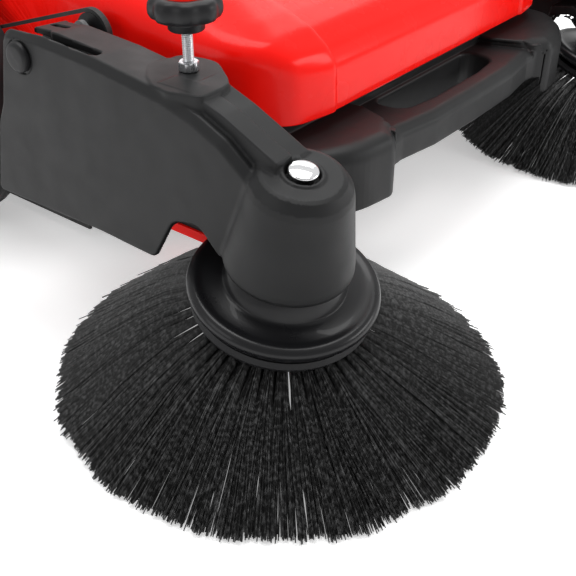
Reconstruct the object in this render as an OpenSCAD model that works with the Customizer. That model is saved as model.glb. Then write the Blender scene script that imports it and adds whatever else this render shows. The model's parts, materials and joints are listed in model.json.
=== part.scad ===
// Walk-behind push sweeper: two tilting side brushes, a roller brush and a hopper that slides out
// at the back. Millimetres. +Z is up, the machine moves towards -Y, and its right side is -X.
// The origin is on the floor, on the centre plane, straight below the wheel axles.

/* [Body] */
// Half of the width over the red hood's sides
body_half = 250; // [249:0.5:251]
// Wall of the moulded shells
wall = 4; // [3.5:0.5:4]
// Height of the nose deck above the floor
deck_z = 145; // [143:1:147]
// Height of the lower front edge of the hood
hood_z = 158; // [157:1:160]
// Height of the top of the hood
hood_top = 300; // [296:1:304]

/* [Wheels and casters] */
// Radius of the driving wheels
wheel_r = 120; // [118:1:120]
// Width of a tyre
tyre_w = 44; // [40:1:44]
// Distance from the centre plane to the middle of a wheel
wheel_x = 290; // [289:1:291]
// Radius of a caster wheel
caster_r = 25; // [22:1:25]

/* [Side brushes] */
// Distance from the centre plane to the foot of a brush axis
brush_x = 294; // [292:1:296]
// Distance from the axles forward to the foot of a brush axis
brush_y = 418; // [416:1:420]
// Forward lean of the brush axis in degrees
lean_forward = 12.7; // [12:0.1:13]
// Outward lean of the brush axis in degrees
lean_outward = 5.0; // [4.5:0.1:5.2]
// Radius over the bristle tips of a side brush
bristle_r = 173; // [165:1:173]
// Radius over the rolled rim of the brush hub
rim_r = 69; // [66:0.5:70]

/* [Side arms] */
// Distance from the centre plane to the outer face of an arm
arm_outer = 334; // [333:0.5:335]
// Width of an arm
arm_w = 54; // [53:1:55]
// Distance from the axles forward to the arm pivot
pivot_y = 218; // [217:1:219]
// Height of the arm pivot
pivot_z = 214; // [213:1:215]
// Distance from the axles forward to the adjusting screw
screw_y = 350; // [349:1:351]

/* [Roller brush] */
// Distance from the axles forward to the roller axis
roller_y = 118; // [117:1:119]
// Radius over the roller bristles
roller_r = 92; // [88:1:94]

/* [Push handle] */
// Length of the handle from its pivot to the grip
handle_len = 816; // [760:4:820]
// Steepness of the handle above the horizontal, in degrees
handle_rise = 61.6; // [58:0.2:63]
// Outer radius of the handle tube
tube_r = 14; // [13:0.5:14]

/* [Hidden] */
$fn = 48;

plastic = "#3f4042";
red = "#e3140f";
steel = "#b9bcc0";
black = "#1d1d1f";
rubber = "#262628";

gap = 0.05;                 // play between a shaft and the hole it turns in
skin = 245;                 // outer face of the chassis side walls
pulley_r = 41.6;            // belt pulley on each wheel
small_r = 16;               // inner layshaft pulley and roller pulley
out_r = 7;                  // outer layshaft pulley, inside the arm
brush_pulley_r = 14;
cord_r = 1.5;               // round belt inside the arm
belt_t = 3;                 // thickness of a flat belt
pivot = [-pivot_y, pivot_z];
roller = [-roller_y, roller_r + 5];
axle = [0, wheel_r];
belt_x = wheel_x - 27.5;    // middle of the side-drive belt
roller_belt_x = 256;        // middle of the roller belt
arm_inner = arm_outer - arm_w;
mid_x = 300;                // plane of the arm belt's driving pulley
nut_z = 222;                // seat of the lock nut on the arm
knob_z = 250;               // underside of the adjusting knob
stop_z = 190;               // top of the ledge that the adjusting screw rests on
fold_y = 190;               // handle pivot
fold_z = 250;
leg_x = 272;                // handle leg
caster = [130, -270];
caster_top = 96;            // underside of the caster deck
lip_z = 29;                 // lower edge of the plates beside the roller mouth
tube_wall = 2;

// ---- helpers ----

function unit(v) = v / norm(v);

// Corner c between neighbours a and b, rounded to radius r with n chords
function fillet(a, c, b, r, n = 5) =
    r == 0 ? [c] :
    let(u = unit(a - c), v = unit(b - c), half = acos(u * v) / 2,
        m = c + unit(u + v) * r / sin(half),
        s = c + u * r / tan(half) - m, e = c + v * r / tan(half) - m,
        a0 = atan2(s[1], s[0]), d = atan2(e[1], e[0]) - a0,
        sweep = d > 180 ? d - 360 : d < -180 ? d + 360 : d)
    [for (k = [0:n]) m + r * [cos(a0 + sweep * k / n), sin(a0 + sweep * k / n)]];

// Outline through points [x, y, corner radius]
function rounded(p) =
    let(n = len(p))
    [for (i = [0:n - 1])
        let(a = p[(i + n - 1) % n], c = p[i], b = p[(i + 1) % n])
        each fillet([a[0], a[1]], [c[0], c[1]], [b[0], b[1]], c[2])];

// The same outline for both sides of the centre plane, from its x >= 0 half
function both_halves(p) =
    concat(p, [for (i = [len(p) - 1:-1:0]) [-p[i][0], p[i][1], p[i][2]]]);

// Loop of an open belt over circles at a and b, lying at radii ra and rb
function belt_loop(a, ra, b, rb, n = 20) =
    let(along = atan2(b[1] - a[1], b[0] - a[0]), open = acos((ra - rb) / norm(b - a)))
    concat(
        [for (k = [0:n]) let(t = along + open + (360 - 2 * open) * k / n) a + ra * [cos(t), sin(t)]],
        [for (k = [0:n]) let(t = along - open + 2 * open * k / n) b + rb * [cos(t), sin(t)]]);

// Extrude a (y, z) outline from x0 to x1
module along_x(x0, x1) translate([x0, 0, 0]) rotate([90, 0, 90]) linear_extrude(x1 - x0) children();

// Turn a (radius, x) profile round the line through (y, z) = c parallel to X
module round_x(x0, c) translate([x0, c[0], c[1]]) rotate([0, 90, 0]) rotate_extrude() children();

// Cylinder parallel to X
module rod_x(x0, x1, c, r) translate([x0, c[0], c[1]]) rotate([0, 90, 0]) cylinder(r = r, h = x1 - x0);

// The right-hand part as drawn, or its mirror image on the left
module side(s) {
    if (s < 0) children();
    else mirror([1, 0, 0]) children();
}

// Frame of the right brush: z runs up the brush axis from its foot on the floor
module brush_frame() translate([-brush_x, -brush_y, 0]) rotate([lean_forward, -lean_outward, 0]) children();

// The chords of the inner loop stand clear of the round pulleys
module flat_belt(x, a, ra, b, rb) {
    chord = 1 / cos(6);
    along_x(x - 2.5, x + 2.5) difference() {
        polygon(belt_loop(a, ra + gap * 2 + belt_t, b, rb + gap * 2 + belt_t));
        polygon(belt_loop(a, (ra + gap) * chord, b, (rb + gap) * chord));
    }
}

// ---- chassis, nose and hood ----

module side_wall() {
    along_x(-skin, -skin + 7) polygon(rounded([
        [-310, 100, 0], [-222, 100, 0], [-222, 31, 6], [325, 31, 12], [325, 186, 0],
        [-150, 186, 20], [-180, 205, 10], [-310, 205, 20]]));
}

module chassis() color(black) {
    difference() {
        union() {
            for (s = [-1, 1]) side(s) {
                side_wall();
                translate([-skin + 3, 2, 31]) cube([12, 322, 8.9]);          // hopper rail
                along_x(-216, -212) polygon([                                // plate beside the roller mouth
                    [-226, caster_top + 1], [-268, caster_top + 1], [-292, lip_z], [-226, lip_z]]);
            }
            along_x(-skin + 1, skin - 1) difference() {                     // roller tunnel
                union() {
                    difference() {
                        translate(roller) circle(roller_r + 12, $fn = 96);
                        translate(roller) circle(roller_r + 8, $fn = 96);
                        translate([-400, -100]) square([800, roller[1] + 100]);
                        translate([roller[0] + 55, 0]) square([200, 400]);
                    }
                    translate([roller[0] - roller_r - 12, 25]) square([wall, roller[1] - 25]);
                }
            }
            translate([-skin + 5, -324, caster_top]) cube([2 * skin - 10, 110, wall]);
            translate([-skin + 5, -324, caster_top]) cube([2 * skin - 10, wall, 54]);
            translate([-skin + 1, -70, 182]) cube([2 * skin - 2, 395, wall]);  // hopper lid
        }
        for (s = [-1, 1]) side(s) {
            rod_x(-skin - 1, -skin + 8, axle, 8 + gap);
            rod_x(-skin - 1, -skin + 8, roller, 14 + gap);
            for (y = [-300, -240]) rod_x(-skin - 1, -skin + 8, [y, 190], 2.5 + gap);
            translate([-caster[0], caster[1], caster_top - 1]) cylinder(r = 6 + gap, h = wall + 2);
        }
    }
}

nose_half = [[0, -424, 0], [70, -423, 30], [118, -416, 20], [132, -419, 8], [148, -429, 10],
    [184, -423, 60], [212, -408, 30], [238, -384, 20], [247, -345, 20], [247, -324.1, 0]];
nose_inner = [for (p = nose_half) [p[0] * 0.982, p[1] < -330 ? p[1] + wall : -300, p[2]]];

module front_nose() color(plastic) {
    difference() {
        union() {
            difference() {
                translate([0, 0, 92]) linear_extrude(deck_z - 92) polygon(rounded(both_halves(nose_half)));
                translate([0, 0, 80]) linear_extrude(deck_z - wall - 80)
                    polygon(rounded(both_halves(nose_inner)));
                translate([-136, -500, 80]) cube([272, 200, 26]);
            }
            intersection() {
                translate([-136, -500, 106]) cube([272, 143, deck_z - 108]);
                linear_extrude(200) polygon(rounded(both_halves(nose_half)));
            }
            translate([-96, -372, 88]) cube([192, 15, 20]);                    // back wall of the grip pocket
            translate([-205, -361, deck_z - 10]) cube([410, wall, hood_z - deck_z + 8]);
        }
        translate([-125, -500, deck_z - 8]) cube([250, 139, 20]);
        translate([0, 0, 80]) linear_extrude(70) polygon(rounded([
            [-88, -365, 12], [88, -365, 12], [82, -396, 14],
            [40, -402, 30], [-40, -402, 30], [-82, -396, 14]]));
    }
}

// Side view of the hood, its plan and its cross-section, each drawn in by t
function hood_side(t) = [
    [-378 + t, t > 0 ? 100 : hood_z, 0], [-380 + t, 170, 12], [-378.5 + t, 190, 20],
    [-371 + t, 206 - t, 20],
    [-345 + t, 222 - t, 30], [-300, 235 - t, 60], [-180, 262 - t, 200], [0, 290 - t, 200],
    [130, hood_top - t, 200], [270, hood_top - 4 - t, 60], [332 - t, 268 - t, 30], [336 - t, 190, 0],
    [336 - t, t > 0 ? 50 : 190, 0], [-165 + t, t > 0 ? 50 : 190, 0],
    [-165 + t, t > 0 ? 50 : 112, 0], [-324 - t, t > 0 ? 50 : 112, 0], [-324 - t, t > 0 ? 100 : hood_z, 0]];
function hood_plan(t) = [
    [0, -380 + t, 0], [160, -380 + t, 20], [208 - t, -373 + t, 18], [236 - t, -346 + t, 30],
    [body_half - t, -318, 60], [body_half - t, 300, 60], [222 - t, 336 - t, 40], [0, 336 - t, 0]];
function hood_section(t) = [
    [-body_half + t, 40], [-body_half + t, 228 - t], [-240 + t, 246 - t], [-212 + t, 272 - t],
    [-150, hood_top - t],
    [150, hood_top - t], [212 - t, 272 - t], [240 - t, 246 - t], [body_half - t, 228 - t],
    [body_half - t, 40]];

module hood_form(t) {
    intersection() {
        along_x(-260, 260) polygon(rounded(hood_side(t)));
        linear_extrude(400) polygon(rounded(both_halves(hood_plan(t))));
        translate([0, 400, 0]) rotate([90, 0, 0]) linear_extrude(900) polygon(hood_section(t));
    }
}

module hood() color(red) {
    difference() {
        hood_form(0);
        hood_form(wall);
        for (s = [-1, 1]) side(s) {
            translate([-body_half - 1, -254, 116]) cube([wall + 2, 58, 58]);   // bracket window
            for (y = [-300, -240]) rod_x(-body_half - 1, -skin, [y, 190], 2.5 + gap);
        }
    }
}

module hood_screws() color(steel) {
    for (s = [-1, 1], y = [-300, -240]) side(s) {
        rod_x(-body_half - 2.4, -body_half - gap, [y, 190], 5);
        rod_x(-body_half - 0.5, -skin + 6, [y, 190], 2.5);
    }
}

module side_lips() color(red) {
    for (s = [-1, 1]) side(s) difference() {
        translate([-218.5, -292, lip_z - 4]) cube([9, 66, 9]);
        translate([-216 - gap, -300, lip_z - gap]) cube([wall + 2 * gap, 80, 10]);
    }
}

module floor_seals() color(rubber) {
    translate([-150, roller[0] - roller_r - 15.2, 3]) cube([300, 3, 60]);
    for (s = [-1, 1]) side(s) translate([-skin - 3.1, -160, 10]) cube([3, 130, 50]);
}

module mudguards() color(plastic) {
    for (s = [-1, 1]) side(s) {
        along_x(-322, -267) difference() {
            translate(axle) circle(wheel_r + 8, $fn = 96);
            translate(axle) circle(wheel_r + 5, $fn = 96);
            translate([-200, -100]) square([400, wheel_r + 76]);
            translate([30, 0]) square([200, 400]);
        }
        along_x(-322, -318) difference() {
            translate(axle) circle(wheel_r + 8, $fn = 96);
            translate(axle) circle(wheel_r - 22, $fn = 96);
            translate([-200, -100]) square([400, wheel_r + 76]);
            translate([30, 0]) square([200, 400]);
        }
        translate([-268, -126, 152]) cube([268 - skin - gap, 8, 18]);
    }
}

// ---- wheels, casters and their shafts ----

module wheel_axles() color(steel) {
    for (s = [-1, 1]) side(s) {
        rod_x(-wheel_x - 24, -skin + 9, axle, 8);
        rod_x(-skin - 4, -skin - gap, axle, 18);
        rod_x(-skin + 7 + gap, -skin + 12, axle, 11);
    }
}

module tyre() color(rubber) {
    w = tyre_w / 2;
    round_x(-wheel_x, axle) polygon([
        [84.1, -w + 3], [94, -w], [wheel_r - 14, -w], [wheel_r - 4, -w + 5], [wheel_r, -w + 12],
        [wheel_r, -3], [wheel_r - 3, -2], [wheel_r - 3, 2], [wheel_r, 3], [wheel_r, w - 12],
        [wheel_r - 4, w - 5], [wheel_r - 14, w], [94, w], [84.1, w - 3]]);
}

module rim() color(black) {
    difference() {
        round_x(-wheel_x, axle) polygon([
            [0, -31], [14, -30.4], [23, -27.5], [26, -22], [26, -4], [77, -4], [78, -19], [84, -19],
            [84, 19], [78, 19], [77, 4], [26, 4], [24, 24.5], [pulley_r, 24.5], [pulley_r, 37],
            [8 + gap, 37], [8 + gap, -25], [0, -25]]);
        for (a = [0:60:300]) translate([-wheel_x - 6, axle[0], axle[1]]) rotate([a, 0, 0])
            translate([0, 0, 52]) rotate([0, 90, 0]) cylinder(r = 14, h = 12);
    }
}

module caster_fork() color(steel) {
    translate([-caster[0], caster[1], 0]) {
        translate([0, 0, caster_top - 9.1]) cylinder(r = 17, h = 9);
        translate([0, 0, caster_top - 1]) cylinder(r = 6, h = wall + 1.2);
        translate([0, 0, caster_top + wall + 0.1]) cylinder(r = 10, h = 4);
        for (x = [-15, 12]) hull() {
            translate([x, 15, caster_r]) rotate([0, 90, 0]) cylinder(r = 7, h = 3, $fn = 32);
            translate([x, -8, caster_top - 9.1]) cube([3, 18, 4]);
        }
        translate([-17, 15, caster_r]) rotate([0, 90, 0]) cylinder(r = 3, h = 34);
    }
}

module caster_wheel() color(rubber) {
    round_x(-caster[0], [caster[1] + 15, caster_r]) polygon([
        [3 + gap, -11], [8, -11], [9, -9], [caster_r - 3, -9], [caster_r, -6], [caster_r, 6],
        [caster_r - 3, 9], [9, 9], [8, 11], [3 + gap, 11]]);
}

// ---- brush drive ----

module drive_belts() color(rubber) {
    for (s = [-1, 1]) side(s) flat_belt(-belt_x, axle, pulley_r, pivot, small_r);
    flat_belt(roller_belt_x, axle, pulley_r, roller, small_r);
}

module layshaft() color(black) {
    rod_x(-321.5, -belt_x + 4, pivot, 5);
    rod_x(-belt_x - 3, -belt_x + 3, pivot, small_r);
    rod_x(-mid_x - 4, -mid_x + 4, pivot, out_r);
    for (x = [-6, 4]) rod_x(-mid_x + x, -mid_x + x + 2, pivot, out_r + 3);
}

module arm_pivot_brackets() color(black) {
    for (s = [-1, 1]) side(s) difference() {
        union() {
            translate([-276, -250, 120]) cube([276 - skin - gap, 50, 50]);
            along_x(-276, -272) polygon(rounded([
                [-250, 120, 0], [-200, 120, 0], [-200, 214, 14], [-218, 228, 6], [-236, 214, 14],
                [-250, 180, 10]]));
            along_x(-328, -318) polygon(rounded([
                [-242, 120, 0], [-200, 120, 0], [-202, 214, 12], [-218, 227, 6], [-234, 214, 12]]));
            translate([-328, -242, 120]) cube([54, 42, 6]);
            translate([-276, -364, 168]) cube([4, 130, stop_z - 168]);
            translate([-308, -364, stop_z - wall]) cube([36, 28, wall]);
        }
        rod_x(-277, -271, pivot, 5 + gap);
        rod_x(-323, -317, pivot, 5 + gap);
        rod_x(-329, -323.5, pivot, 4 + gap);
    }
}

module arm_pivot_bolts() color(black) {
    for (s = [-1, 1]) side(s) {
        round_x(-arm_outer, pivot) polygon([
            [0, -5], [7, -4.6], [10.5, -3.2], [11.5, -1.4], [11.5, -0.1], [6, -0.1], [6, 5.9], [4, 5.9],
            [4, 10], [0, 10]]);
    }
}

// ---- side arm (right-hand version) ----

arm_outline = [
    [-198, 234, 12], [-240, 233, 60], [-293, 228, 80], [-354, 220, 60], [-384, 212, 60], [-412, 203, 40],
    [-438, 186, 14], [-440, 114, 0], [-408, 112, 4], [-388, 132, 12], [-364, 127, 14], [-342, 89, 8],
    [-283, 91, 0], [-159, 88, 4]];
arm_hollow = [
    [-203, 226, 10], [-281, 223, 80], [-352, 215, 80], [-397, 202, 40], [-426, 182, 10], [-426, 126, 0],
    [-404, 126, 0], [-388, 139, 6], [-362, 135, 0], [-350, 60, 0], [-140, 60, 0]];
// Raised platform round the adjusting screw, in plan
arm_platform = [
    [-275, -330, 4], [-308, -326, 10], [-328, -345, 20], [-332, -364, 12], [-327, -386, 0], [-303, -386, 4],
    [-286, -377, 6], [-275, -364, 10]];

function on_brush(h) = [
    -brush_x - h * cos(lean_forward) * sin(lean_outward), -brush_y - h * sin(lean_forward),
    h * cos(lean_forward) * cos(lean_outward)];

module arm_shell() {
    along_x(-arm_outer, -arm_inner) polygon(rounded(arm_outline));
    brush_frame() rotate_extrude() polygon([
        [0, 113], [43, 113], [45.6, 115], [45.6, 119], [35.2, 177], [34, 182], [29.5, 187.4],
        [25, 189], [0, 189]]);
    translate([0, 0, 200]) linear_extrude(nut_z - 200) polygon(rounded(arm_platform));
    along_x(-326, -304) polygon(rounded([
        [-360, 190, 0], [-360, nut_z, 0], [-378, nut_z - 0.5, 20], [-452, 191, 10], [-456, 170, 0]]));
}

module side_arm() color(plastic) {
    difference() {
        arm_shell();
        along_x(-arm_outer + wall, -arm_inner - wall) polygon(rounded(arm_hollow));
        along_x(-arm_inner - wall - 1, -arm_inner + 1) polygon([for (p = rounded(arm_hollow)) p - [0, 10]]);
        rod_x(-arm_inner - wall - 1, -arm_inner + 1, pivot, 12);
        brush_frame() rotate_extrude() polygon([
            [0, 124], [39.5, 124], [31, 170], [0, 170]]);
        brush_frame() rotate_extrude() polygon([                               // clearance for the brush hub
            [0, 60], [47, 60], [47, 113], [41, 113], [41, 117], [0, 117]]);
        brush_frame() translate([0, 0, 110]) cylinder(r = 9 + gap, h = 90);
        brush_frame() translate([0, 0, 184]) cylinder(r = 12.5, h = 10);
        rod_x(-arm_outer - 1, -arm_outer + wall + 1, pivot, 6 + gap);
        rod_x(-arm_outer - 1, -arm_outer + 0.8, pivot, 13);
        translate([-brush_x, -screw_y, 190]) cylinder(r = 4 + gap, h = 50);
        translate([-328, -262, 230]) cube([60, 80, 10]);                      // deck lower than the side
        translate([-328, -213, 205]) cube([60, 40, 40]);                      // deck shorter than the side
        translate([-329, -292, 215]) cube([13, 66, 20]);                      // slots in the top
        for (x = [-304, -291]) translate([x, -232, 215]) cube([7, 16, 20]);
    }
}

module spindle_bushes() color("#8a6d3b") {
    for (h = [[117, 124], [172, 184]]) brush_frame() translate([0, 0, h[0]]) difference() {
        cylinder(r = 9, h = h[1] - h[0]);
        translate([0, 0, -1]) cylinder(r = 6 + gap, h = 20);
    }
}

// Straight run of the belt; its ends reach a little way into the bends
module strand(a, b) {
    d = b - a;
    translate(a - 0.8 * unit(d)) rotate([0, acos(d[2] / norm(d)), atan2(d[1], d[0])])
        cylinder(r = cord_r - 0.2, h = norm(d) + 1.6, $fn = 16);
}

// Round belt with a quarter turn, from the layshaft to the brush pulley
module arm_belt() color(rubber) {
    c = on_brush(141);
    w = brush_pulley_r + cord_r + 0.1;
    drop = atan2(pivot[1] - c[2], pivot[0] - c[1]);
    wrap = (out_r + cord_r + 0.2) * [0, -sin(drop), cos(drop)];
    middle = [-mid_x, pivot[0], pivot[1]];
    strand(middle + wrap, [c[0] - w, c[1], c[2]]);
    strand(middle - wrap, [c[0] + w, c[1], c[2]]);
    translate(middle) rotate([0, 90, 0]) rotate([0, 0, drop])
        rotate_extrude(angle = 180) translate([out_r + cord_r + 0.2, 0]) circle(cord_r, $fn = 16);
    brush_frame() translate([0, 0, 141]) rotate([0, 0, 180]) rotate_extrude(angle = 180)
        translate([w, 0]) circle(cord_r, $fn = 16);
}

module lock_nut() color(steel) {
    translate([-brush_x, -screw_y, nut_z + gap]) difference() {
        cylinder(r = 7.5, h = 6.5, $fn = 6);
        translate([0, 0, -1]) cylinder(r = 4 + gap, h = 10);
    }
}

// ---- side brush ----

module spindle() color(steel) {
    brush_frame() {
        translate([0, 0, 76]) cylinder(r = 6, h = 109);
        translate([0, 0, 74]) cylinder(r = 11, h = 6);
    }
}

module brush_pulley() color(black) {
    brush_frame() rotate_extrude() polygon([
        [6 + gap, 134], [brush_pulley_r + 2, 134], [brush_pulley_r, 136], [brush_pulley_r, 147],
        [brush_pulley_r + 2, 150], [6 + gap, 150]]);
}

module brush_hub() color(black) {
    brush_frame() rotate_extrude() polygon([
        [6 + gap, 80.1], [50, 80.1], [60, 82.2], [rim_r - 3, 84.5], [rim_r, 88.5], [rim_r - 0.4, 91.4],
        [rim_r - 2.4, 93.8], [rim_r - 5.5, 94.9], [rim_r - 9.5, 94.7], [54.5, 93.5], [50, 94.2], [44.6, 97],
        [43, 99.5], [39.5, 110.2], [37.5, 111], [6 + gap, 111]]);
}

module brush_plate() color(black) {
    brush_frame() rotate_extrude() polygon([
        [11.5, 70], [58, 70], [64.5, 72.5], [66, 76], [64, 80], [11.5, 80]]);
}

module bristles() color(rubber) {
    brush_frame() rotate_extrude() polygon([
        [46, 69.9], [62, 69.9], [110, 62], [bristle_r, 47.5], [bristle_r, 43.5], [108, 57],
        [60, 64.5], [46, 66]]);
}

module spindle_cap() color("#d9dcdf") {
    brush_frame() rotate_extrude() polygon([
        [0, 194], [5.4, 193.6], [9.2, 192.4], [10.3, 191], [10.3, 190], [9.6, 189.4], [9.6, 185.2],
        [0, 185.2]]);
}

module adjuster_screw() color(steel) {
    translate([-brush_x, -screw_y, stop_z + 0.2]) {
        cylinder(r1 = 2.2, r2 = 4, h = 2);
        translate([0, 0, 2]) cylinder(r = 4, h = knob_z + 12 - stop_z);
    }
}

// Outline of a hand knob with n lobes
function lobes(r, wave, n) =
    [for (a = [0:5:355]) (r + wave * cos(n * a)) * [cos(a), sin(a)]];

module adjuster_knob() color(black) {
    translate([-brush_x, -screw_y, knob_z]) difference() {
        union() {
            cylinder(r = 12.5, h = 8);
            translate([0, 0, 7]) linear_extrude(15) polygon(lobes(23.7, 0.9, 8));
        }
        translate([0, 0, -1]) cylinder(r = 4 + gap, h = 16);
        translate([0, 0, 20]) cylinder(r = 14 + gap, h = 5);
    }
}

module knob_insert() color(red) {
    translate([-brush_x, -screw_y, knob_z + 20 + gap]) cylinder(r = 14, h = 3.5);
}

// ---- roller brush and hopper ----

module roller_bearings() color("#8a6d3b") {
    for (s = [-1, 1]) side(s) difference() {
        rod_x(-skin - 2, -skin + 7, roller, 14);
        rod_x(-skin - 3, -skin + 8, roller, 8 + gap);
    }
}

module roller_shaft() color(steel) rod_x(-skin - 4, roller_belt_x + 4, roller, 8);

module roller_core() color(black) {
    difference() {
        rod_x(-230, 230, roller, 30);
        rod_x(-231, 231, roller, 8);
    }
}

module roller_bristles() color(rubber) {
    difference() {
        rod_x(-228, 228, roller, roller_r);
        rod_x(-229, 229, roller, 30);
    }
}

module roller_pulley() color(black) {
    difference() {
        rod_x(roller_belt_x - 3, roller_belt_x + 3, roller, small_r);
        rod_x(roller_belt_x - 4, roller_belt_x + 4, roller, 8);
    }
}

module hopper() color(black) {
    difference() {
        union() {
            along_x(-229, 229) polygon(rounded([
                [-12, 24, 4], [318, 24, 20], [318, 176, 8], [40, 176, 0], [40, 120, 30], [-12, 36, 0]]));
            for (s = [-1, 1]) side(s) translate([-236, 2, 40]) cube([8, 314, wall]);
        }
        along_x(-225, 225) polygon(rounded([
            [-8, 28, 2], [314, 28, 18], [314, 200, 0], [30, 200, 0], [-30, 120, 0], [-30, 36, 0],
            [-8, 36, 0]]));
    }
}

module hopper_handle() color(plastic) {
    translate([0, 0, 118]) linear_extrude(24) difference() {
        polygon(rounded([[-90, 318.1, 0], [-82, 358, 16], [82, 358, 16], [90, 318.1, 0]]));
        polygon(rounded([[-72, 317, 0], [-66, 344, 10], [66, 344, 10], [72, 317, 0]]));
    }
}

// ---- push handle ----

// Frame of the handle: z runs up along the legs from the pivot
module handle_frame() translate([0, fold_y, fold_z]) rotate([handle_rise - 90, 0, 0]) children();

module handle_brackets() color(black) {
    for (s = [-1, 1]) side(s) difference() {
        union() {
            along_x(-257, -251) polygon(rounded([
                [155, 118, 8], [225, 118, 8], [214, 268, 18], [166, 268, 18]]));
            translate([-252, 158, 122]) cube([252 - skin - gap, 62, 50]);
        }
        rod_x(-258, -250, [fold_y, fold_z], 5 + gap);
        rod_x(-254.5, -250, [fold_y, fold_z], 9);
    }
}

module handle_bolts() color(steel) {
    for (s = [-1, 1]) side(s) {
        rod_x(-300, -251.2, [fold_y, fold_z], 5);
        rod_x(-254.4, -251.2, [fold_y, fold_z], 8.5);
    }
}

// The bent bar of the handle at radius r; its open ends reach past the pivot by low
module handle_bar(r, low) {
    bend = 60;
    handle_frame() {
        for (s = [-1, 1]) {
            translate([s * leg_x, 0, -low]) cylinder(r = r, h = handle_len + low - bend);
            translate([s * (leg_x - bend), 0, handle_len - bend]) rotate([90, 0, 0])
                rotate([0, 0, s > 0 ? 0 : 90]) rotate_extrude(angle = 90) translate([bend, 0]) circle(r);
        }
        translate([-leg_x + bend, 0, handle_len]) rotate([0, 90, 0]) cylinder(r = r, h = 2 * (leg_x - bend));
    }
}

module push_handle() color(black) {
    difference() {
        handle_bar(tube_r, 22);
        handle_bar(tube_r - tube_wall, 23);
        for (s = [-1, 1]) side(s) rod_x(-leg_x - 20, -leg_x + 20, [fold_y, fold_z], 5 + gap);
    }
}

module foam_grip() color(rubber) {
    handle_frame() translate([0, 0, handle_len]) rotate([0, 90, 0]) difference() {
        translate([0, 0, -190]) cylinder(r = tube_r + 5, h = 380);
        translate([0, 0, -191]) cylinder(r = tube_r, h = 382);
    }
}

module handle_knob() color(black) {
    difference() {
        union() {
            rod_x(-294, -leg_x - tube_r - 0.5, [fold_y, fold_z], 11);
            translate([-306, fold_y, fold_z]) rotate([0, 90, 0]) linear_extrude(13) polygon(lobes(22, 2, 6));
        }
        rod_x(-300.5, -280, [fold_y, fold_z], 5 + gap);
    }
}

// ---- every node ----

chassis();
front_nose();
hood();
hood_screws();
side_lips();
floor_seals();
mudguards();
wheel_axles();
arm_pivot_brackets();
arm_pivot_bolts();
drive_belts();
roller_bearings();
handle_brackets();
handle_bolts();
tyre();  // tyre_right
rim();  // rim_right
side(1) tyre();  // tyre_left
side(1) rim();  // rim_left
caster_fork();  // caster_fork_right
caster_wheel();  // caster_wheel_right
side(1) caster_fork();  // caster_fork_left
side(1) caster_wheel();  // caster_wheel_left
layshaft();  // layshaft_right
side(1) layshaft();  // layshaft_left
roller_shaft();
roller_core();
roller_bristles();
roller_pulley();
hopper();
hopper_handle();
side_arm();  // side_arm_right
lock_nut();  // lock_nut_right
spindle_bushes();  // spindle_bushes_right
arm_belt();  // arm_belt_right
side(1) side_arm();  // side_arm_left
side(1) lock_nut();  // lock_nut_left
side(1) spindle_bushes();  // spindle_bushes_left
side(1) arm_belt();  // arm_belt_left
spindle();  // spindle_right
brush_pulley();  // brush_pulley_right
brush_hub();  // brush_hub_right
brush_plate();  // brush_plate_right
bristles();  // bristles_right
spindle_cap();  // spindle_cap_right
side(1) spindle();  // spindle_left
side(1) brush_pulley();  // brush_pulley_left
side(1) brush_hub();  // brush_hub_left
side(1) brush_plate();  // brush_plate_left
side(1) bristles();  // bristles_left
side(1) spindle_cap();  // spindle_cap_left
adjuster_screw();  // adjuster_screw_right
adjuster_knob();  // adjuster_knob_right
knob_insert();  // knob_insert_right
side(1) adjuster_screw();  // adjuster_screw_left
side(1) adjuster_knob();  // adjuster_knob_left
side(1) knob_insert();  // knob_insert_left
push_handle();
foam_grip();
handle_knob();  // handle_knob_right
side(1) handle_knob();  // handle_knob_left
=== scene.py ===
import json
import math

import bpy
import numpy as np
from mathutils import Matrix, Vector

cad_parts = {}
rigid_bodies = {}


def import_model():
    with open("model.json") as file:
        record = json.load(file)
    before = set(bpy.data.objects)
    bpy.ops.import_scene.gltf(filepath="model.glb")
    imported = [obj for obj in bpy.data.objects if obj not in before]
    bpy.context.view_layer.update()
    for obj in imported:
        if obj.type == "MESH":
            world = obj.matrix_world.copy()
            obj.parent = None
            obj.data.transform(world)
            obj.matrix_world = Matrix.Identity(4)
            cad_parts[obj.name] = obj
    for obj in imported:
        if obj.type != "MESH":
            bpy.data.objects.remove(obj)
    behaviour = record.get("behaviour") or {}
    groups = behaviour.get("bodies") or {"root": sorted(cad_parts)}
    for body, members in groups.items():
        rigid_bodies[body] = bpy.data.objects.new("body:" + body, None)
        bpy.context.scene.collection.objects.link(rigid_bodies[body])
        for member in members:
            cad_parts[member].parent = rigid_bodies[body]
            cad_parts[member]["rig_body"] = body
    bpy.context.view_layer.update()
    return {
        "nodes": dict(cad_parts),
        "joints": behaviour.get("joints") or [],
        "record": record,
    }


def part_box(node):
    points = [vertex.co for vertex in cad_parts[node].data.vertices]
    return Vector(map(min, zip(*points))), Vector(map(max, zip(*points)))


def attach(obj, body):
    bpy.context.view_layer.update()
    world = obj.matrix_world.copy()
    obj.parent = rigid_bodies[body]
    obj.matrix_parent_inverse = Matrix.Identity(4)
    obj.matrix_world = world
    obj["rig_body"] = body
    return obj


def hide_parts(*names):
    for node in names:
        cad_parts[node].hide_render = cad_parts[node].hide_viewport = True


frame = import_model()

MM = 0.001
DIAGONAL = 0.7071                      # makes the sum of two distances the distance to a 45 degree chamfer
NODES = frame["nodes"]
JOINTS = {j["name"]: j for j in frame["joints"]}
SIDES = (("right", -1), ("left", 1))
rng = np.random.default_rng(20)


# ---------------------------------------------------------------- materials

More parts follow.
